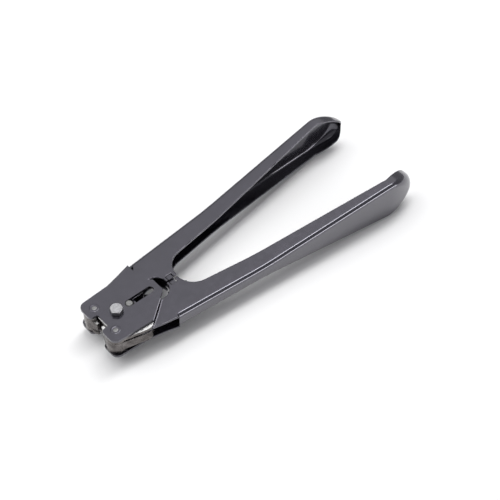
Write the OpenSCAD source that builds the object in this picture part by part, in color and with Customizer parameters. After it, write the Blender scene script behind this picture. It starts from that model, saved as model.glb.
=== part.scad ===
// Front-action strap sealer: two channel handles squeeze a pair of laminated crimping jaws.
// Millimetres. The origin is the middle of the anvil face, where the strap seal is held.
// +X runs from the mouth towards the grips, +Y towards the left handle, +Z towards the bolt head.
// Each jaw and handle is the same part as its opposite, turned over about X.

/* [Head] */
// Distance from the anvil face back to the centre bolt
bolt_x = 17; // [16:0.5:18]
// Distance from the anvil face back to the jaw pivots
jaw_pivot_x = 3; // [2:0.5:4]
// Distance of each jaw pivot from the centre line
jaw_pivot_y = 17; // [16:0.5:18]
// Thickness of each cover plate
cover_t = 2.5; // [2:0.1:3.5]
// Clear height between the two cover plates
head_gap = 21; // [20.6:0.1:22]

/* [Linkage] */
// Distance from the anvil face back to the handles' common pin, jaws closed
handle_pivot_x = 32; // [31:0.5:33]
// Distance that the common pin slides back as the handles open
guide_travel = 25; // [20:0.5:26]
// Distance from the anvil face back to the pins that join handles and jaws
link_x = 29.5; // [28:0.5:30]
// Distance of those link pins from the centre line
link_y = 25.5; // [24:0.5:26]

/* [Handles] */
// Thickness of the handle sheet
sheet_t = 2; // [1.6:0.1:2.1]
// Overall length from the anvil face to the end of the grips
grip_end_x = 363; // [340:1:380]
// Height of the handle channel along the neck
neck_height = 17; // [15:0.5:17.5]
// Height of the handle channel at the grip
grip_height = 48; // [36:1:52]

/* [Fasteners] */
// Diameter of the centre bolt
bolt_d = 8; // [6:1:8]
// Width of the hexagon across its flats
hex_flats = 12; // [10:0.5:13]
// Diameter of the jaw pivot pins
jaw_pin_d = 10; // [8:0.5:10]
// Diameter of the link pins and of the common pin
link_pin_d = 7.6; // [7:0.1:7.8]

/* [Hidden] */
$fn = 96;

paint = [0.15, 0.15, 0.17];
steel = [0.72, 0.72, 0.74];
zinc = [0.80, 0.81, 0.84];

// Clearances
face_gap = 0.2;          // between flat faces that slide on each other
jaw_gap = 0.3;           // between the jaw plates and what they pass
running_gap = 0.06;      // radial, in a pin's bore
linkage_gap = 1.6;       // radial, in the jaw eye round the link pin
slot_gap = 0.2;          // each side of the common pin in its slots
far = 400;               // longer than anything on the tool

// Heights. The left handle lies half a sheet above the middle plane and the right one half a
// sheet below it, so that their flanges lap at the common pin.
cover_z = head_gap / 2;
cover_face_z = cover_z + cover_t;
stack_z = cover_z - jaw_gap;
lap = (sheet_t + face_gap) / 2;
head_h = 6.5 + lap;                   // half height of the channel inside the head
upper_flange_z = [head_h - sheet_t + lap, head_h + lap];
lower_flange_z = [-head_h + lap, sheet_t - head_h + lap];

// The left jaw's plates: two between the handle's flanges and one under the lower flange.
jaw_seam_z = (upper_flange_z[0] + lower_flange_z[1]) / 2;
upper_plate_z = [jaw_seam_z, upper_flange_z[0] - jaw_gap];
middle_plate_z = [lower_flange_z[1] + jaw_gap, jaw_seam_z];
lower_plate_z = [-stack_z, lower_flange_z[0] - jaw_gap];

// Plan positions
jaw_pivot = [jaw_pivot_x, jaw_pivot_y];
handle_pivot = [handle_pivot_x, 0];
link_pivot = [link_x, link_y];
link_r = link_pin_d / 2;

// Cover outline
lobe_front_x = -8;
lobe_inner_y = 8.4;
lobe_outer_y = 28.9;
notch_x = 0.4;
shoulder = [37, 31];
tail_end = [67, 8];

// Jaw outline
hub_r = 8.7;
lobe_r = jaw_pivot_x - lobe_front_x;
eye_r = 9.3;
tip_y = 3.8;
pocket_depth = 1.8;
pocket_y = 8.2;
beak = 2.2;              // length of the hooked tip in front of the pocket

// Handle plan
wall_start = [62, 40.2];
wall_slope = 0.09;
wall_bend_x = 324;
wall_bend_r = 105;
seam_y = 0.25;
inner_edge_y = 4.5;      // between the eye and the relief hole
relief_x = 64.5;
relief_r = 13;
crotch_x = 90.7;
crotch_r = 21;
inner_slope = 0.143;
hook_x = 330;
hook_y = 47.5;
handle_eye_r = 8;         // round the common pin and round the link pin

// Handle side view
ramp_x = [43, 61];
flare_x = 165;
neck_h = neck_height / 2;
grip_h = grip_height / 2;
end_length = 40;
end_x = grip_end_x - end_length;

// Stop blocks, each in a notch of the handle's inner edge
notch_to_stop = 1;
stop_x = [80.5, 86];
stop_y = [0.15, 5.2];

// Fasteners and rings
head_height = 5.3;
washer_t = 1.6;
nut_h = 6.5;
collar_r = 5.2;

// Points of an arc round centre c, from angle a to angle b, in n steps.
function arc(c, rx, ry, a, b, n = 16) =
    [for (i = [0:n]) let (t = a + (b - a) * i / n) c + [rx * cos(t), ry * sin(t)]];

// A polygon's points with each corner [x, y, radius] rounded.
function rounded(p) =
    [for (i = [0:len(p) - 1])
        let (
            b = [p[i][0], p[i][1]],
            prev = p[(i + len(p) - 1) % len(p)],
            next = p[(i + 1) % len(p)],
            u = unit([prev[0], prev[1]] - b),
            v = unit([next[0], next[1]] - b),
            half = acos(u * v) / 2,
            c = b + unit(u + v) * p[i][2] / sin(half),
            from = b + u * p[i][2] / tan(half) - c,
            to = b + v * p[i][2] / tan(half) - c,
            sweep = 180 - 2 * half,
            n = 8
        )
        each (p[i][2] == 0 ? [b] :
            [for (k = [0:n]) c + (from * sin(sweep * (1 - k / n)) + to * sin(sweep * k / n)) / sin(sweep)])];

function unit(v) = v / norm(v);
function flip_y(p) = [for (i = [len(p) - 1:-1:0]) [p[i][0], -p[i][1], p[i][2]]];

// Distance from the centre line to the outside of the handle wall.
function wall_y(x) =
    wall_start[1] + wall_slope * (x - wall_start[0]) - pow(max(0, x - wall_bend_x), 2) / (2 * wall_bend_r);

// A slab of a plan outline between two heights.
module slab(z) {
    translate([0, 0, z[0]])
        linear_extrude(z[1] - z[0])
            children();
}

// Two discs joined by the band that touches both.
module bar(p, rp, q, rq) {
    d = q - p;
    heading = atan2(d[1], d[0]);
    lean = acos((rp - rq) / norm(d));
    function rim(c, r, a) = c + r * [cos(heading + a), sin(heading + a)];
    translate(p) circle(rp);
    translate(q) circle(rq);
    polygon([rim(p, rp, lean), rim(p, rp, -lean), rim(q, rq, -lean), rim(q, rq, lean)]);
}

module at(p) {
    translate([p[0], p[1], 0])
        children();
}

module turned_over() {
    rotate([180, 0, 0])
        children();
}

// ---- Head ----

module cover_outline() {
    half = [
        [notch_x, lobe_inner_y, 1.2],
        [lobe_front_x, lobe_inner_y + 0.6, 3.8],
        [lobe_front_x, lobe_outer_y, 7.5],
        [shoulder[0], shoulder[1], 2.5],
        [tail_end[0], tail_end[1], 2]
    ];
    polygon(rounded(concat(half, flip_y(half))));
}

module guide_slot() {
    slot_r = link_r + slot_gap;
    for (x = [handle_pivot_x - slot_gap, handle_pivot_x + guide_travel])
        translate([x, 0]) circle(slot_r);
    translate([handle_pivot_x, -slot_r])
        square([guide_travel, 2 * slot_r]);
}

module cover_plate() {
    color(paint)
        slab([cover_z, cover_z + cover_t])
            difference() {
                cover_outline();
                translate([bolt_x, 0]) circle(bolt_d / 2 + face_gap);
                for (side = [-1, 1])
                    translate([jaw_pivot_x, side * jaw_pivot_y]) circle(jaw_pin_d / 2);
                guide_slot();
            }
}

module upper_cover_plate() {
    cover_plate();
}

module lower_cover_plate() {
    turned_over() cover_plate();
}

// The block that the seal is crimped against, clamped between the covers by the centre bolt.
module anvil() {
    face_half = 7.5;
    heel_half = 6;
    heel_x = 9;
    back_x = 23.4;
    color(steel)
        slab([-cover_z, cover_z])
            difference() {
                polygon(rounded([
                    [0, -face_half, 0.8], [heel_x, -face_half, 0],
                    [heel_x + 2, -heel_half, 0], [back_x, -heel_half, 3],
                    [back_x, heel_half, 3], [heel_x + 2, heel_half, 0],
                    [heel_x, face_half, 0], [0, face_half, 0.8]
                ]));
                translate([bolt_x, 0]) circle(bolt_d / 2 + face_gap);
            }
}

module hexagon(flats) {
    rotate(15) circle(r = flats / sqrt(3), $fn = 6);
}

module centre_bolt() {
    thread_end = 1.5;
    color(zinc)
        at([bolt_x, 0]) {
            translate([0, 0, cover_face_z])
                linear_extrude(head_height) hexagon(hex_flats);
            translate([0, 0, -cover_face_z - washer_t - nut_h - thread_end])
                cylinder(d = bolt_d, h = 2 * cover_face_z + washer_t + nut_h + thread_end);
        }
}

module centre_nut() {
    color(zinc)
        at([bolt_x, 0])
            slab([-cover_face_z - washer_t - nut_h, -cover_face_z - washer_t])
                difference() {
                    hexagon(hex_flats);
                    circle(d = bolt_d);
                }
}

module nut_washer() {
    color(zinc)
        at([bolt_x, 0])
            slab([-cover_face_z - washer_t, -cover_face_z])
                difference() {
                    circle(d = 2 * bolt_d);
                    circle(d = bolt_d);
                }
}

// Pivot pin riveted into both covers, with a shallow punch mark at each end.
module jaw_pin() {
    proud = 0.3;
    mark_r = 2.6;
    color(steel)
        difference() {
            at(jaw_pivot) cylinder(d = jaw_pin_d, h = 2 * (cover_face_z + proud), center = true);
            for (side = [-1, 1])
                translate([jaw_pivot_x, jaw_pivot_y, side * (cover_face_z + proud)])
                    cylinder(r = mark_r, h = 2 * proud, center = true);
        }
}

module left_jaw_pin() {
    jaw_pin();
}

module right_jaw_pin() {
    turned_over() jaw_pin();
}

// ---- Jaws ----

// The jaw seen from above: hooked tip, lobe round the pivot, tail and eye.
module jaw_outline() {
    tail = link_pivot - jaw_pivot;
    heading = atan2(tail[1], tail[0]);
    lower = heading - acos((hub_r - eye_r) / norm(tail));
    upper = heading + acos((lobe_r - eye_r) / norm(tail));
    difference() {
        polygon(concat(
            [[-pocket_depth - beak, tip_y], [-pocket_depth, tip_y], [-pocket_depth, pocket_y]],
            arc(jaw_pivot, hub_r, hub_r, -105, lower, 8),
            arc(link_pivot, eye_r, eye_r, lower, upper, 20),
            arc(jaw_pivot, lobe_r, lobe_r, upper, 200, 12)
        ));
        translate(jaw_pivot) circle(jaw_pin_d / 2 + running_gap);
        translate(link_pivot) circle(link_r + linkage_gap);
    }
}

module jaw_plate(z) {
    color(steel)
        slab(z) jaw_outline();
}

// Packing plates round the pivot, level with the handle's flanges, that fill the jaw up to the covers.
module jaw_spacers() {
    inset = 0.15;
    color(steel)
        for (z = [[upper_plate_z[1], stack_z], [lower_plate_z[1], middle_plate_z[0]]])
            slab(z)
                intersection() {
                    jaw_outline();
                    translate(jaw_pivot) circle(lobe_r - inset);
                }
}

module left_upper_jaw_plate() {
    jaw_plate(upper_plate_z);
}

module left_middle_jaw_plate() {
    jaw_plate(middle_plate_z);
}

module left_lower_jaw_plate() {
    jaw_plate(lower_plate_z);
}

module left_jaw_spacers() {
    jaw_spacers();
}

module right_upper_jaw_plate() {
    turned_over() jaw_plate(lower_plate_z);
}

module right_middle_jaw_plate() {
    turned_over() jaw_plate(middle_plate_z);
}

module right_lower_jaw_plate() {
    turned_over() jaw_plate(upper_plate_z);
}

module right_jaw_spacers() {
    turned_over() jaw_spacers();
}

// ---- Common pin ----

module guide_pin() {
    proud = 0.7;
    color(zinc)
        at(handle_pivot)
            cylinder(d = link_pin_d, h = 2 * (cover_face_z + proud), center = true);
}

// Collars that keep the common pin central between the covers.
module guide_pin_collars() {
    color(steel)
        at(handle_pivot)
            for (side = [0, 180])
                rotate([side, 0, 0])
                    slab([upper_flange_z[1] + face_gap, cover_z - face_gap])
                        difference() {
                            circle(collar_r);
                            circle(d = link_pin_d);
                        }
}

// Sleeve that keeps the two handles' inner flanges apart.
module guide_pin_sleeve() {
    inner_z = -lower_flange_z[1] - face_gap;
    color(steel)
        at(handle_pivot)
            slab([-inner_z, inner_z])
                difference() {
                    circle(collar_r);
                    circle(d = link_pin_d);
                }
}

// ---- Handles ----

// The handle seen from above: head plate, neck, open channel and hooked end.
module handle_plan() {
    lean = atan(inner_slope);
    crotch_c = [crotch_x + crotch_r, seam_y];
    edge_start = crotch_c + crotch_r * [-sin(lean), cos(lean)];
    hook = [hook_x, edge_start[1] + inner_slope * (hook_x - edge_start[0])];
    head_edge = [link_x - 1.2, link_y + handle_eye_r - 0.1];     // just inside the rim of the eye
    wall_steps = 12;
    bar(link_pivot, handle_eye_r, handle_pivot, handle_eye_r);
    polygon(concat(
        [[handle_pivot_x, inner_edge_y], [relief_x, inner_edge_y], [relief_x, seam_y]],
        arc(crotch_c, crotch_r, crotch_r, 180, 90 + lean),
        [hook, [grip_end_x, hook_y]],
        [for (i = [0:wall_steps])
            let (x = grip_end_x + (wall_bend_x - grip_end_x) * i / wall_steps)
            [x, wall_y(x)]],
        [wall_start, head_edge, link_pivot]
    ));
}

// The outside of the handle seen from the side, shrunk by inset.
function side_profile(inset) =
    let (
        top = [
            [link_x - eye_r - 1, head_h - inset], [ramp_x[0], head_h - inset], [ramp_x[1], neck_h - inset],
            [flare_x, neck_h - inset]
        ],
        bottom = [for (i = [len(top) - 1:-1:0]) [top[i][0], -top[i][1]]]
    )
    concat(top, arc([end_x, 0], end_length - inset, grip_h - inset, 90, -90, 32), bottom);

// A side outline carried right across the handle.
module across() {
    rotate([90, 0, 0])
        linear_extrude(far, center = true)
            children();
}

module handle_wall_plan() {
    steps = 14;
    bend = [for (i = [0:steps]) wall_bend_x + (grip_end_x - wall_bend_x) * i / steps];
    polygon(concat(
        [wall_start], [for (x = bend) [x, wall_y(x)]],
        [for (i = [steps:-1:0]) [bend[i], wall_y(bend[i]) - sheet_t]], [wall_start - [0, sheet_t]]
    ));
}

// Pressed channel: two flanges that follow the side outline, and a wall between them.
module handle_channel() {
    depth = [-grip_h - 1, grip_h + 1];
    difference() {
        union() {
            intersection() {
                slab(depth) handle_plan();
                across()
                    difference() {
                        polygon(side_profile(0));
                        polygon(side_profile(sheet_t));
                    }
            }
            intersection() {
                slab(depth) handle_wall_plan();
                across() polygon(side_profile(0));
            }
        }
        slab(depth) {
            translate([relief_x, 0]) circle(relief_r);
            translate(handle_pivot) circle(link_r + running_gap);
            translate(link_pivot) circle(link_r);
            translate([stop_x[0] - notch_to_stop, 0])
                square([stop_x[1] - stop_x[0] + 2 * notch_to_stop, stop_y[1]]);
        }
    }
}

module handle() {
    color(paint)
        translate([0, 0, lap])
            handle_channel();
}

module link_pin() {
    color(steel)
        at(link_pivot)
            cylinder(r = link_r, h = 2 * stack_z, center = true);
}

// Block welded to both flanges, a little below their faces; the two blocks meet when the jaws are closed.
module stop_block() {
    below = 1;
    color(paint)
        slab([below - neck_h + lap, neck_h - below + lap])
            translate([stop_x[0], stop_y[0]])
                square([stop_x[1] - stop_x[0], stop_y[1] - stop_y[0]]);
}

module left_handle() {
    handle();
}

module left_link_pin() {
    link_pin();
}

module left_stop_block() {
    stop_block();
}

module right_handle() {
    turned_over() handle();
}

module right_link_pin() {
    turned_over() link_pin();
}

module right_stop_block() {
    turned_over() stop_block();
}

upper_cover_plate();
lower_cover_plate();
anvil();
centre_bolt();
centre_nut();
nut_washer();
left_jaw_pin();
right_jaw_pin();
left_upper_jaw_plate();
left_middle_jaw_plate();
left_lower_jaw_plate();
left_jaw_spacers();
right_upper_jaw_plate();
right_middle_jaw_plate();
right_lower_jaw_plate();
right_jaw_spacers();
guide_pin();
guide_pin_collars();
guide_pin_sleeve();
left_handle();
left_link_pin();
left_stop_block();
right_handle();
right_link_pin();
right_stop_block();
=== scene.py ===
"""Front-action strap sealer: meshes, finishes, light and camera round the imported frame."""

import math

import bmesh
import bpy
from mathutils import Matrix, Quaternion, Vector


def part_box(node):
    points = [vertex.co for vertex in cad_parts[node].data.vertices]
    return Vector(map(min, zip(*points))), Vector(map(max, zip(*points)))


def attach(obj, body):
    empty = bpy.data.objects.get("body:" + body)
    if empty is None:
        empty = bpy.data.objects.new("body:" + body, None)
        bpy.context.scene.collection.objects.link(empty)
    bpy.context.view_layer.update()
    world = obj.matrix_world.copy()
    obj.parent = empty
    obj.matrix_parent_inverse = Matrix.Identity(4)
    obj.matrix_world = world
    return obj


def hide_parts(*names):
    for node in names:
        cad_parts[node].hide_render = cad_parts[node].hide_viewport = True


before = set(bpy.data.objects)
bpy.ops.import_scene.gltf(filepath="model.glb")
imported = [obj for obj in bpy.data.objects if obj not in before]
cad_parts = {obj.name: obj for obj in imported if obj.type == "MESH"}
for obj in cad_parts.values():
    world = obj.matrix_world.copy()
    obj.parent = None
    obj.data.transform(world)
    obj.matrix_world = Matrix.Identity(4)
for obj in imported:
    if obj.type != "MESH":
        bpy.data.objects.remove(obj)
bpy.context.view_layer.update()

MM = 0.001


def node_box(name):
    """Lowest and highest corners of a CAD node, in millimetres."""
    low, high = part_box(name)
    return Vector(low) / MM, Vector(high) / MM


def node_centre(name):
    low, high = node_box(name)
    return (low + high) / 2


# ---------------------------------------------------------------- sizes, in millimetres, from the frame

LEFT_LOW, LEFT_HIGH = node_box("left_handle")
COVER_HIGH = node_box("upper_cover_plate")[1]
BOLT_LOW, BOLT_HIGH = node_box("centre_bolt")
GUIDE_LOW, GUIDE_HIGH = node_box("guide_pin")
STOP_LOW, STOP_HIGH = node_box("left_stop_block")
NUT_LOW, NUT_HIGH = node_box("centre_nut")
JAW_PIN_LOW, JAW_PIN_HIGH = node_box("left_jaw_pin")

BOLT = node_centre("centre_bolt")
GUIDE = node_centre("guide_pin")
LINK = node_centre("left_link_pin")

SHEET = 2.0                                   # thickness of the handle sheet
LAP = (LEFT_HIGH.z + LEFT_LOW.z) / 2          # the left handle's height above the middle plane
GRIP_H = (LEFT_HIGH.z - LEFT_LOW.z) / 2       # half height of the channel at the grip
GRIP_END = LEFT_HIGH.x
HEAD_H = 7.6                                  # half height of the channel inside the head
NECK_H = 8.5                                  # half height along the neck
CORNER_R = 4.4                                # outside radius between wall and flange
TIP_CORNER_R = 11.0                           # the same, at the tip

RAMP = (43.0, 61.0)                           # where the flanges open from head to neck
FLARE_X = 165.0                               # where the neck starts to widen
FLARE_BLEND = 30.0                            # length over which it bends
END_LENGTH = 40.0                             # length of the rounded end
END_X = GRIP_END - END_LENGTH

WALL_START = (62.0, 40.2)
WALL_SLOPE = 0.09
WALL_BEND_X = 324.0
WALL_BEND_R = 105.0
SEAM_Y = 0.25
INNER_EDGE_Y = 4.5                            # inner edge between the eye and the relief hole
RELIEF = (64.5, 13.0)                         # middle and radius of the round relief
CROTCH = (111.7, SEAM_Y, 21.0)                # middle x, y and radius of the rounded crotch
INNER_SLOPE = 0.143
HOOK_X = 326.0
HOOK_Y = 46.5
TIP_R = 9.0                                   # plan radius of the free edge at the tip
HANDLE_EYE_R = 8.0
NOTCH_TO_STOP = 1.0
PIN_BORE_R = 3.86
WALL_END = WALL_START[0] - 1.2                # the wall's own end, at the head
WALL_STEP = 0.2                               # length over which the wall leaves its line there


# ---------------------------------------------------------------- helpers

def arc(cx, cy, radius, start, end, steps=16):
    """Points of an arc, angles in degrees."""
    points = []
    for i in range(steps + 1):
        t = math.radians(start + (end - start) * i / steps)
        points.append((cx + radius * math.cos(t), cy + radius * math.sin(t)))
    return points


def mesh_object(name, bm):
    """A new object from a bmesh built in millimetres."""
    bmesh.ops.scale(bm, vec=(MM, MM, MM), verts=bm.verts)
    bmesh.ops.recalc_face_normals(bm, faces=bm.faces)
    mesh = bpy.data.meshes.new(name)
    bm.to_mesh(mesh)
    bm.free()
    obj = bpy.data.objects.new(name, mesh)
    bpy.context.scene.collection.objects.link(obj)
    return obj


def add_prism(bm, outline, low, high):
    """Adds a straight prism over a plan outline to bm."""
    bottom = [bm.verts.new((x, y, low)) for x, y in outline]
    top = [bm.verts.new((x, y, high)) for x, y in outline]
    bm.faces.new(list(reversed(bottom)))
    bm.faces.new(top)
    count = len(outline)
    for i in range(count):
        j = (i + 1) % count
        bm.faces.new((bottom[i], bottom[j], top[j], top[i]))


def prism_object(name, outlines, low, high):
    bm = bmesh.new()
    for outline in outlines:
        add_prism(bm, outline, low, high)
    return mesh_object(name, bm)


def apply_modifiers(obj):
    """Turns the evaluated mesh into the object's own mesh."""
    graph = bpy.context.evaluated_depsgraph_get()
    mesh = bpy.data.meshes.new_from_object(obj.evaluated_get(graph))
    obj.modifiers.clear()
    obj.data = mesh


def combine(obj, tool, operation):
    """Boolean of obj with tool, which is used up."""
    step = obj.modifiers.new("combine", "BOOLEAN")
    step.operation = operation
    step.solver = "EXACT"
    step.object = tool
    apply_modifiers(obj)
    bpy.data.objects.remove(tool)


def clean(obj, size=0.12):
    """Joins points closer together than a size in millimetres, so that no slivers are left to bevel."""
    bm = bmesh.new()
    bm.from_mesh(obj.data)
    bmesh.ops.remove_doubles(bm, verts=bm.verts, dist=size * MM)
    bmesh.ops.dissolve_degenerate(bm, edges=bm.edges, dist=size * MM)
    bm.to_mesh(obj.data)
    bm.free()


def soften(obj, width=0.4, segments=2, angle=35):
    """Rounds the sharp edges a little and keeps flat faces shading flat."""
    for face in obj.data.polygons:
        face.use_smooth = True
    bevel = obj.modifiers.new("edges", "BEVEL")
    bevel.width = width * MM
    bevel.segments = segments
    bevel.limit_method = "ANGLE"
    bevel.angle_limit = math.radians(angle)
    bevel.use_clamp_overlap = False
    bevel.harden_normals = False
    normals = obj.modifiers.new("normals", "WEIGHTED_NORMAL")
    normals.weight = 80
    normals.keep_sharp = True


def turn_over(obj):
    """Half a turn about X: the right-hand part is the left-hand one turned over."""
    obj.data.transform(Matrix.Rotation(math.pi, 4, "X"))


def finish_with(obj, material):
    obj.data.materials.clear()
    obj.data.materials.append(material)


# ---------------------------------------------------------------- camera

AZIMUTH = math.radians(48.8)
ELEVATION = math.radians(50.2)
DISTANCE = 1.253
ROLL = math.radians(0.31)
AIM = Vector((GRIP_END * MM / 2 - 0.0111, -0.0176, 0.0))


def make_camera():
    data = bpy.data.cameras.new("camera")
    data.sensor_width = 36.0
    data.lens = 89.5
    data.clip_start = 0.05
    camera = bpy.data.objects.new("camera", data)
    bpy.context.scene.collection.objects.link(camera)
    toward = Vector((
        math.cos(ELEVATION) * math.cos(AZIMUTH),
        math.cos(ELEVATION) * math.sin(AZIMUTH),
        -math.sin(ELEVATION),
    ))
    camera.location = AIM - toward * DISTANCE
    upright = toward.to_track_quat("-Z", "Y")
    camera.rotation_euler = (upright @ Quaternion((0, 0, 1), ROLL)).to_euler()
    bpy.context.scene.camera = camera


# ---------------------------------------------------------------- materials

def new_material(name):
    material = bpy.data.materials.new(name)
    material.use_nodes = True
    nodes = material.node_tree.nodes
    return material, nodes, material.node_tree.links, nodes["Principled BSDF"]


def noise(nodes, links, scale, detail=3.0, stretch=(1, 1, 1)):
    """Noise fixed to the object, in features per metre."""
    where = nodes.new("ShaderNodeTexCoord")
    place = nodes.new("ShaderNodeMapping")
    place.inputs["Scale"].default_value = stretch
    texture = nodes.new("ShaderNodeTexNoise")
    texture.inputs["Scale"].default_value = scale
    texture.inputs["Detail"].default_value = detail
    links.new(where.outputs["Object"], place.inputs["Vector"])
    links.new(place.outputs["Vector"], texture.inputs["Vector"])
    return texture


def ramp(nodes, links, source, stops):
    """Colour ramp over a noise, stops as (place, grey or colour)."""
    node = nodes.new("ShaderNodeValToRGB")
    for i, (place, colour) in enumerate(stops):
        element = node.color_ramp.elements[i] if i < 2 else node.color_ramp.elements.new(place)
        element.position = place
        rgb = colour if isinstance(colour, tuple) else (colour, colour, colour)
        element.color = (*rgb, 1.0)
    links.new(source, node.inputs["Fac"])
    return node


def bump(nodes, links, height, strength, distance):
    node = nodes.new("ShaderNodeBump")
    node.inputs["Strength"].default_value = strength
    node.inputs["Distance"].default_value = distance
    links.new(height, node.inputs["Height"])
    return node


def paint_material():
    """Glossy charcoal enamel with a faint orange peel and slightly uneven gloss."""
    material, nodes, links, shader = new_material("charcoal_paint")
    shade = ramp(nodes, links, noise(nodes, links, 45).outputs["Fac"],
                 [(0.3, (0.004, 0.004, 0.006)), (0.7, (0.009, 0.008, 0.012))])
    links.new(shade.outputs["Color"], shader.inputs["Base Color"])
    gloss = ramp(nodes, links, noise(nodes, links, 160, 5.0).outputs["Fac"], [(0.35, 0.17), (0.75, 0.27)])
    links.new(gloss.outputs["Color"], shader.inputs["Roughness"])
    peel = bump(nodes, links, noise(nodes, links, 700, 1.0).outputs["Fac"], 0.04, 0.0001)
    links.new(peel.outputs["Normal"], shader.inputs["Normal"])
    shader.inputs["IOR"].default_value = 1.75
    shader.inputs["Specular Tint"].default_value = (0.85, 0.82, 1.0, 1)
    shader.inputs["Coat Weight"].default_value = 0.7
    shader.inputs["Coat Roughness"].default_value = 0.06
    shader.inputs["Coat IOR"].default_value = 1.6
    return material


def steel_material():
    """Tool steel plate: bright ground faces, and duller punched edges with oily patches."""
    material, nodes, links, shader = new_material("ground_steel")
    patches = noise(nodes, links, 130, 4.0).outputs["Fac"]
    face = ramp(nodes, links, patches, [(0.30, (0.60, 0.60, 0.59)), (0.70, (0.78, 0.78, 0.77))])
    edge = ramp(nodes, links, patches, [(0.30, (0.07, 0.062, 0.06)), (0.70, (0.20, 0.185, 0.18))])
    direction = nodes.new("ShaderNodeTexCoord")
    split = nodes.new("ShaderNodeSeparateXYZ")
    flat = nodes.new("ShaderNodeMath")
    flat.operation = "ABSOLUTE"
    links.new(direction.outputs["Normal"], split.inputs["Vector"])
    links.new(split.outputs["Z"], flat.inputs[0])
    facing = ramp(nodes, links, flat.outputs["Value"], [(0.30, 0.0), (0.75, 1.0)])
    shade = nodes.new("ShaderNodeMix")
    shade.data_type = "RGBA"
    links.new(facing.outputs["Color"], shade.inputs["Factor"])
    links.new(edge.outputs["Color"], shade.inputs["A"])
    links.new(face.outputs["Color"], shade.inputs["B"])
    links.new(shade.outputs["Result"], shader.inputs["Base Color"])
    shader.inputs["Metallic"].default_value = 1.0
    gloss = ramp(nodes, links, noise(nodes, links, 400, 3.0).outputs["Fac"], [(0.3, 0.20), (0.7, 0.36)])
    links.new(gloss.outputs["Color"], shader.inputs["Roughness"])
    lines = noise(nodes, links, 60, 6.0, stretch=(1, 8, 60))
    grinding = bump(nodes, links, lines.outputs["Fac"], 0.05, 0.0001)
    links.new(grinding.outputs["Normal"], shader.inputs["Normal"])
    return material


def metal_material(name, dark, light, rough, grain, depth):
    """Bare or plated metal with a fine grain: colour and roughness each run between two values."""
    material, nodes, links, shader = new_material(name)
    shade = ramp(nodes, links, noise(nodes, links, grain, 4.0).outputs["Fac"], [(0.3, dark), (0.7, light)])
    links.new(shade.outputs["Color"], shader.inputs["Base Color"])
    shader.inputs["Metallic"].default_value = 1.0
    gloss = ramp(nodes, links, noise(nodes, links, grain * 1.7, 2.0).outputs["Fac"],
                 [(0.3, rough[0]), (0.7, rough[1])])
    links.new(gloss.outputs["Color"], shader.inputs["Roughness"])
    relief = noise(nodes, links, grain * 4, 2.0)
    texture = bump(nodes, links, relief.outputs["Fac"], depth, 0.0001)
    links.new(texture.outputs["Normal"], shader.inputs["Normal"])
    return material


# ---------------------------------------------------------------- handles

def wall_y(x):
    """Outside of the wall; ahead of its start it stands well clear, where the trimming removes it."""
    clear = 12.0
    if x < WALL_END:
        return WALL_START[1] + clear * min(1.0, (WALL_END - x) / WALL_STEP)
    bend = max(0.0, x - WALL_BEND_X)
    return WALL_START[1] + WALL_SLOPE * (x - WALL_START[0]) - bend * bend / (2 * WALL_BEND_R)


def flange_h(x):
    """Half height of the channel before its rounded end, with a soft start to the flare."""
    if x < RAMP[1]:
        t = min(1.0, max(0.0, (x - RAMP[0]) / (RAMP[1] - RAMP[0])))
        return HEAD_H + (NECK_H - HEAD_H) * t * t * (3 - 2 * t)
    slope = (GRIP_H - NECK_H) / (END_X - FLARE_X)
    past = x - FLARE_X
    if abs(past) < FLARE_BLEND / 2:
        return NECK_H + slope * (past + FLARE_BLEND / 2) ** 2 / (2 * FLARE_BLEND)
    return NECK_H + slope * max(0.0, past)


def side_stations():
    """Stations (x, z, normal x, normal z) along the top of the side outline, head to tip."""
    stations = []
    start, wall_x = LEFT_LOW.x - 2, WALL_END
    head_steps, length_steps, end_steps = 16, 80, 28
    head = [start + (wall_x - start) * i / head_steps for i in range(head_steps)] + [wall_x - WALL_STEP]
    length = [wall_x + (END_X - wall_x) * i / length_steps for i in range(length_steps)]
    for x in head + length:
        rise = flange_h(x + 0.5) - flange_h(x - 0.5)
        size = math.hypot(1.0, rise)
        stations.append((x, flange_h(x), -rise / size, 1 / size))
    for i in range(end_steps + 1):
        t = math.pi / 2 * (1 - i / end_steps)
        nx, nz = math.cos(t) / END_LENGTH, math.sin(t) / GRIP_H
        size = math.hypot(nx, nz)
        stations.append((END_X + END_LENGTH * math.cos(t), GRIP_H * math.sin(t), nx / size, nz / size))
    return stations


def corner_radius(x):
    """Outside radius between wall and flange, which opens out round the tip."""
    t = min(1.0, max(0.0, (x - END_X) / END_LENGTH))
    return CORNER_R + (TIP_CORNER_R - CORNER_R) * t * t * (3 - 2 * t)


def channel_section(station, inset):
    """Points across the channel from one free edge to the other, on the outside or on the inside."""
    x, z, nx, nz = station
    free_y = -12.0                            # well past the free edge, which the outline trims
    flat_steps, corner_steps, web_steps = 6, 12, 6
    corner = corner_radius(x)
    radius = corner - inset
    half = []
    for i in range(flat_steps + 1):
        flat_y = wall_y(x) - corner
        half.append((x - inset * nx, free_y + (flat_y - free_y) * i / flat_steps, z - inset * nz))
    for i in range(1, corner_steps + 1):
        turn = math.pi / 2 * i / corner_steps
        depth = corner - radius * math.cos(turn)
        px = x - depth * nx
        half.append((px, wall_y(px) - corner + radius * math.sin(turn), max(0.0, z - depth * nz)))
    web = []
    last = half[-1]
    for i in range(1, web_steps):
        web.append((last[0], last[1], last[2] * (1 - 2 * i / web_steps)))
    mirrored = [(px, py, -pz) for px, py, pz in reversed(half)]
    return half + web + mirrored


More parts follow.
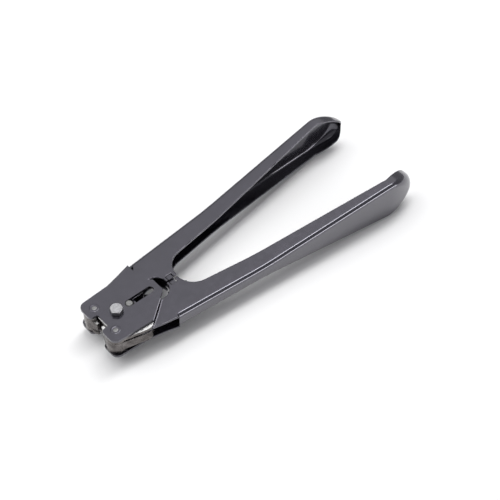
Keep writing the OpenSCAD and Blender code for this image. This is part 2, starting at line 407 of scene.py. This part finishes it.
def channel_tray():
    """The untrimmed channel as a closed shell."""
    bm = bmesh.new()
    rows = {}
    stations = side_stations()
    for inset in (0.0, SHEET):
        rows[inset] = [[bm.verts.new(p) for p in channel_section(s, inset)] for s in stations]
    for inset, grid in rows.items():
        for a, b in zip(grid, grid[1:]):
            for i in range(len(a) - 1):
                bm.faces.new((a[i], a[i + 1], b[i + 1], b[i]))
    outer, inner = rows[0.0], rows[SHEET]
    for k in range(len(outer) - 1):
        for edge in (0, -1):
            bm.faces.new((outer[k][edge], outer[k + 1][edge], inner[k + 1][edge], inner[k][edge]))
    for i in range(len(outer[0]) - 1):
        bm.faces.new((outer[0][i], outer[0][i + 1], inner[0][i + 1], inner[0][i]))
    bmesh.ops.remove_doubles(bm, verts=bm.verts, dist=0.001)
    bmesh.ops.dissolve_degenerate(bm, edges=bm.edges, dist=0.001)
    return mesh_object("tray", bm)


def handle_outline():
    """Plan outline that trims the tray, left open beyond the wall."""
    heading = math.degrees(math.atan2(GUIDE.y - LINK.y, GUIDE.x - LINK.x))
    west = heading - 90
    eye_start = math.degrees(math.asin(INNER_EDGE_Y / HANDLE_EYE_R))
    eye_end = 98 - 360                        # where the outer edge leaves the link pin's eye
    crotch_x, crotch_y, crotch_r = CROTCH
    tilt = math.degrees(math.atan(INNER_SLOPE))
    crotch = arc(crotch_x, crotch_y, crotch_r, 90 + tilt, 180)
    hook = (HOOK_X, crotch[0][1] + INNER_SLOPE * (HOOK_X - crotch[0][0]))
    tip = arc(GRIP_END - TIP_R, HOOK_Y + TIP_R, TIP_R, 0, -105)
    past_end = GRIP_END + 4
    beyond = 8.0                              # how far the outline stays clear of the wall
    ledge = 0.9                               # how far the head's flange stands out where the wall begins
    outline = tip + [hook] + crotch
    outline += [(RELIEF[0], SEAM_Y), (RELIEF[0], INNER_EDGE_Y)]
    outline += arc(GUIDE.x, GUIDE.y, HANDLE_EYE_R, eye_start, west, 20)
    outline += arc(LINK.x, LINK.y, HANDLE_EYE_R, west, eye_end, 16)
    outline += [(WALL_START[0], WALL_START[1] + ledge), (WALL_START[0], WALL_START[1] + beyond)]
    outline += [(past_end, wall_y(WALL_BEND_X) + beyond), (past_end, HOOK_Y + TIP_R)]
    return outline


def circle(cx, cy, radius, sides):
    return arc(cx, cy, radius, 0, 360 * (sides - 1) / sides, sides - 1)


def handle_mesh(name):
    """A left-hand handle, lying half a lap above the middle plane."""
    obj = channel_tray()
    obj.name = name
    tall = GRIP_H + 5
    combine(obj, prism_object("outline", [handle_outline()], -tall, tall), "INTERSECT")
    notch_start = STOP_LOW.x - NOTCH_TO_STOP
    notch_end = STOP_HIGH.x + NOTCH_TO_STOP
    notch = [(notch_start, -1), (notch_end, -1), (notch_end, STOP_HIGH.y), (notch_start, STOP_HIGH.y)]
    holes = [
        circle(RELIEF[0], 0, RELIEF[1], 64),
        circle(GUIDE.x, GUIDE.y, PIN_BORE_R, 32),
        circle(LINK.x, LINK.y, PIN_BORE_R, 32),
        notch,
    ]
    combine(obj, prism_object("holes", holes, -tall, tall), "DIFFERENCE")
    clean(obj)
    obj.data.transform(Matrix.Translation((0, 0, LAP * MM)))
    return obj


def make_handles(paint):
    for side in ("left", "right"):
        node = side + "_handle"
        obj = handle_mesh(side + "_handle_channel")
        if side == "right":
            turn_over(obj)
        soften(obj, width=0.6, segments=4, angle=40)
        finish_with(obj, paint)
        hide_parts(node)
        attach(obj, node)


# ---------------------------------------------------------------- bolt and nut

def hex_body(bm, low, high, flats, chamfer_top, chamfer_bottom):
    """Hexagon prism with its corners turned down to a chamfer, as on a bolt head or nut."""
    sides = 72
    corner = flats / math.sqrt(3)
    face, shoulder = flats / 2 * 0.95, flats / 2 * 1.02
    rise, depth = 0.35, 0.9
    rings = []
    limits = []
    if chamfer_bottom:
        limits += [(low, face), (low + rise, shoulder), (low + depth, corner)]
    else:
        limits += [(low, corner)]
    if chamfer_top:
        limits += [(high - depth, corner), (high - rise, shoulder), (high, face)]
    else:
        limits += [(high, corner)]
    for z, limit in limits:
        ring = []
        for i in range(sides):
            angle = math.radians(360 * i / sides)
            off = (math.degrees(angle) - 15.0) % 60.0 - 30.0
            reach = min(flats / 2 / math.cos(math.radians(off)), limit)
            ring.append(bm.verts.new((BOLT.x + reach * math.cos(angle), BOLT.y + reach * math.sin(angle), z)))
        rings.append(ring)
    for a, b in zip(rings, rings[1:]):
        for i in range(sides):
            j = (i + 1) % sides
            bm.faces.new((a[i], a[j], b[j], b[i]))
    bm.faces.new(list(reversed(rings[0])))
    bm.faces.new(rings[-1])


def lathe(bm, cx, cy, profile, sides=48):
    """Closed turned shape from (radius, z) points; its two ends are capped."""
    rings = []
    for radius, z in profile:
        ring = []
        for i in range(sides):
            angle = 2 * math.pi * i / sides
            ring.append(bm.verts.new((cx + radius * math.cos(angle), cy + radius * math.sin(angle), z)))
        rings.append(ring)
    for a, b in zip(rings, rings[1:]):
        for i in range(sides):
            j = (i + 1) % sides
            bm.faces.new((a[i], a[j], b[j], b[i]))
    bm.faces.new(list(reversed(rings[0])))
    bm.faces.new(rings[-1])


def thread_profile(radius, low, high, pitch=1.25):
    """Screw thread as a row of turned grooves."""
    depth = 0.55
    points = []
    z = low
    while z + pitch <= high:
        points += [(radius - depth, z), (radius - 0.05, z + pitch * 0.42), (radius - 0.05, z + pitch * 0.58)]
        z += pitch
    points.append((radius - depth, z))
    return points


def make_bolt(zinc):
    flats = 12.0
    bm = bmesh.new()
    hex_body(bm, COVER_HIGH.z + 0.4, BOLT_HIGH.z, flats, True, False)
    head = mesh_object("bolt_head", bm)
    bm = bmesh.new()
    shank, collar = 4.0, flats / 2 * 0.93
    profile = [(shank - 1.0, BOLT_LOW.z)]
    profile += thread_profile(shank, BOLT_LOW.z + 0.6, NUT_HIGH.z + 2)
    profile += [(shank - 0.05, NUT_HIGH.z + 3), (shank - 0.05, COVER_HIGH.z)]
    profile += [(collar, COVER_HIGH.z + 0.01), (collar, COVER_HIGH.z + 0.42)]
    lathe(bm, BOLT.x, BOLT.y, profile)
    body = mesh_object("bolt_shank", bm)
    for piece in (head, body):
        soften(piece, 0.15, 2, 30)
        finish_with(piece, zinc)
        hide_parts("centre_bolt")
        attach(piece, "head")


def make_nut(zinc):
    bm = bmesh.new()
    hex_body(bm, NUT_LOW.z, NUT_HIGH.z, 12.0, True, True)
    nut = mesh_object("hex_nut", bm)
    bm = bmesh.new()
    lathe(bm, BOLT.x, BOLT.y, [(4.02, NUT_LOW.z - 1), (4.02, NUT_HIGH.z + 1)])
    combine(nut, mesh_object("nut_bore", bm), "DIFFERENCE")
    soften(nut, 0.2, 2, 30)
    finish_with(nut, zinc)
    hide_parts("centre_nut")
    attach(nut, "head")


# ---------------------------------------------------------------- pins

def turned_pin(name, centre, profile, material, node, body):
    bm = bmesh.new()
    lathe(bm, centre.x, centre.y, profile, 64)
    pin = mesh_object(name, bm)
    soften(pin, 0.12, 2, 25)
    finish_with(pin, material)
    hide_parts(node)
    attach(pin, body)


def make_pins(pin_steel, paint):
    reach = GUIDE_HIGH.z
    radius = (GUIDE_HIGH.x - GUIDE_LOW.x) / 2
    end = [(radius - 1.6, reach), (radius - 0.7, reach - 0.25), (radius, reach - 1.0)]
    profile = [(r, -z) for r, z in end] + [(r, z) for r, z in reversed(end)]
    turned_pin("guide_pin_turned", GUIDE, profile, pin_steel, "guide_pin", "guide")
    radius = (JAW_PIN_HIGH.x - JAW_PIN_LOW.x) / 2
    reach = JAW_PIN_HIGH.z
    mark = 2.6
    head = [(mark + 0.05, reach - 0.3), (mark + 1.1, reach - 0.05), (radius - 0.9, reach),
            (radius - 0.25, reach - 0.15), (radius - 0.02, reach - 0.6)]
    head_profile = [(r, -z) for r, z in head] + [(r, z) for r, z in reversed(head)]
    core = [(0.6, reach - 0.10), (1.9, reach - 0.12), (mark, reach - 0.30)]
    core_profile = [(r, -z) for r, z in core] + [(r, z) for r, z in reversed(core)]
    for side in ("left", "right"):
        centre = node_centre(side + "_jaw_pin")
        node = side + "_jaw_pin"
        turned_pin(side + "_pivot_rivet", centre, head_profile, paint, node, "head")
        turned_pin(side + "_pivot_core", centre, core_profile, pin_steel, node, "head")


# ---------------------------------------------------------------- carried-over CAD nodes

def dress_nodes(finishes):
    """Finish and edge rounding for the CAD nodes that keep their own shape, by slot."""
    jaw_parts = ("_upper_jaw_plate", "_middle_jaw_plate", "_lower_jaw_plate", "_jaw_spacers")
    by_slot = {
        "dark_paint": ["upper_cover_plate", "lower_cover_plate", "left_stop_block", "right_stop_block"],
        "tool_steel": ["anvil"] + [side + part for side in ("left", "right") for part in jaw_parts],
        "pin_steel": ["left_link_pin", "right_link_pin"],
        "black_oxide": ["guide_pin_collars", "guide_pin_sleeve"],
        "zinc_plate": ["nut_washer"],
    }
    for slot, names in by_slot.items():
        for name in names:
            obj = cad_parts[name]
            obj.data.materials.clear()
            obj.data.materials.append(finishes[slot])
            if slot == "dark_paint":
                soften(obj, 0.8, 4, 35)
            else:
                soften(obj, 0.3, 2, 35)


# ---------------------------------------------------------------- stage

def area_light(name, location, rotation, size, radiance):
    data = bpy.data.lights.new(name, "AREA")
    data.shape = "RECTANGLE"
    data.size, data.size_y = size
    data.energy = radiance * math.pi * size[0] * size[1]
    light = bpy.data.objects.new(name, data)
    bpy.context.scene.collection.objects.link(light)
    light.location = location
    light.rotation_euler = rotation


def long_light(name, lean, distance, x_range, width, radiance):
    """Light parallel to the tool, leaning from overhead towards +Y by an angle in degrees."""
    lean = math.radians(lean)
    place = (sum(x_range) / 2, distance * math.sin(lean), distance * math.cos(lean))
    area_light(name, place, (-lean, 0, 0), (x_range[1] - x_range[0], width), radiance)


def softbox(name, azimuth, elevation, distance, size, radiance):
    """Large soft light in a direction seen from the tool."""
    azimuth, elevation = math.radians(azimuth), math.radians(elevation)
    away = Vector((
        math.cos(elevation) * math.cos(azimuth),
        math.cos(elevation) * math.sin(azimuth),
        math.sin(elevation),
    ))
    area_light(name, AIM + away * distance, (-away).to_track_quat("-Z", "Y").to_euler(), size, radiance)


def make_stage():
    bm = bmesh.new()
    half = 3000.0
    floor_z = LEFT_LOW.z - 2 * LAP
    corners = ((-half, -half), (half, -half), (half, half), (-half, half))
    bm.faces.new([bm.verts.new((x, y, floor_z)) for x, y in corners])
    floor = mesh_object("floor", bm)
    material, _, _, shader = new_material("floor_paper")
    shader.inputs["Base Color"].default_value = (0.88, 0.88, 0.88, 1)
    shader.inputs["Roughness"].default_value = 1.0
    shader.inputs["Specular IOR Level"].default_value = 0.0
    floor.data.materials.append(material)

    world = bpy.data.worlds.new("studio")
    bpy.context.scene.world = world
    world.use_nodes = True
    world.node_tree.nodes["Background"].inputs["Color"].default_value = (0.97, 0.97, 1.0, 1)
    world.node_tree.nodes["Background"].inputs["Strength"].default_value = 0.35
    long_light("ceiling_panel", 34, 3.0, (-1.2, 4.0), 1.5, 0.58)
    long_light("key_tube", 9, 3.0, (-0.2, 2.8), 0.8, 9)
    long_light("front_panel", -86, 3.0, (0.5, 3.2), 1.1, 7)
    softbox("fill", 150, 50, 3.2, (3.0, 2.2), 2.0)
    bpy.context.scene.view_settings.view_transform = "Standard"


make_camera()
charcoal = paint_material()
FINISHES = {
    "dark_paint": charcoal,
    "tool_steel": steel_material(),
}
for finish, values in {
    "pin_steel": ((0.15, 0.15, 0.15), (0.25, 0.25, 0.25), (0.45, 0.60), 350, 0.15),
    "zinc_plate": ((0.27, 0.27, 0.28), (0.42, 0.42, 0.43), (0.30, 0.42), 500, 0.12),
    "black_oxide": ((0.010, 0.010, 0.010), (0.022, 0.021, 0.020), (0.35, 0.5), 300, 0.1),
}.items():
    FINISHES[finish] = metal_material(finish, *values)
dress_nodes(FINISHES)
make_handles(charcoal)
make_bolt(FINISHES["zinc_plate"])
make_nut(FINISHES["zinc_plate"])
make_pins(FINISHES["pin_steel"], charcoal)
make_stage()
